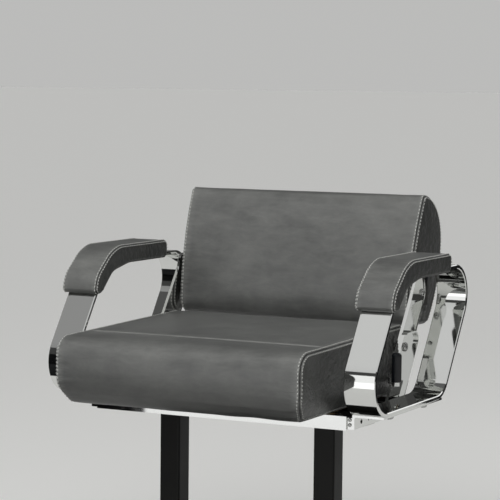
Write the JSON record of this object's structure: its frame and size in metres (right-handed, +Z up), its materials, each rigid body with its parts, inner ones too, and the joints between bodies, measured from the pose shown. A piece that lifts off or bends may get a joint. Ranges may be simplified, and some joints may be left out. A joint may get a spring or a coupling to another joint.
{
  "type": "styling chair",
  "caption": "Styling chair with a leather seat, a tilting rolled backrest and padded loop arms of chromed flat bar, on square posts and a floor plate.",
  "frame": {"origin": "on the floor, under the middle of the chair outline", "axes": "+Z up, -Y the front where the sitter's knees are, +X the sitter's left, where the release lever is"},
  "size_m": [0.675, 0.625, 0.7551],
  "materials": {
    "chrome": "mirror polished plating",
    "black_paint": "satin black powder coat",
    "fastener_steel": "bright zinc",
    "bronze": "sintered",
    "plywood": "raw birch",
    "leather": "mottled grey aniline",
    "grip_rubber": "smooth",
    "glide_plastic": "matte"
  },
  "bodies": {
    "chair_frame": {"arm_bolts": "fastener_steel", "arm_loop_left": "chrome", "arm_loop_right": "chrome", "arm_pad_board_left": "plywood", "arm_pad_board_right": "plywood", "arm_pad_left": "leather", "arm_pad_right": "leather", "arm_pad_screws": "fastener_steel", "arm_washers": "fastener_steel", "base_glides": "glide_plastic", "base_plate": "black_paint", "cross_bar_bolts": "fastener_steel", "cross_bar_front": "black_paint", "cross_bar_rear": "black_paint", "front_cover": "chrome", "hinge_bracket_left": "chrome", "hinge_bracket_right": "chrome", "lever_bush": "bronze", "pivot_bolts": "fastener_steel", "pivot_nuts": "fastener_steel", "pivot_spacers": "fastener_steel", "post_bolts": "fastener_steel", "post_left": "black_paint", "post_nuts": "fastener_steel", "post_right": "black_paint", "post_top_plate_left": "black_paint", "post_top_plate_right": "black_paint", "rail_tie_front": "black_paint", "rail_tie_rear": "black_paint", "rear_cover": "chrome", "seat_board": "plywood", "seat_cushion": "leather", "seat_screws": "fastener_steel", "side_rail_left": "chrome", "side_rail_right": "chrome", "tie_screws": "fastener_steel"},
    "backrest": {"back_cushion": "leather", "back_core": "plywood", "back_plate_left": "chrome", "back_plate_right": "chrome", "back_screws": "fastener_steel", "pivot_bushes": "bronze"},
    "lever": {"release_lever": "chrome", "lever_grip": "grip_rubber", "lever_shaft": "fastener_steel", "lock_cam": "fastener_steel", "lever_clip": "fastener_steel", "lever_spring": "fastener_steel"}
  },
  "joints": [
    {"name": "back_tilt", "type": "hinge", "parent": "chair_frame", "child": "backrest", "pos_m": [0, 0.092, 0.479], "axis": [-1, 0, 0], "range_deg": [0, 25]},
    {"name": "lever_pull", "type": "hinge", "parent": "chair_frame", "child": "lever", "pos_m": [0.254, 0.0655, 0.418], "axis": [1, 0, 0], "range_deg": [0, 18], "stiffness_Nm_per_rad": 0.8, "springref_deg": -20.05}
  ]
}
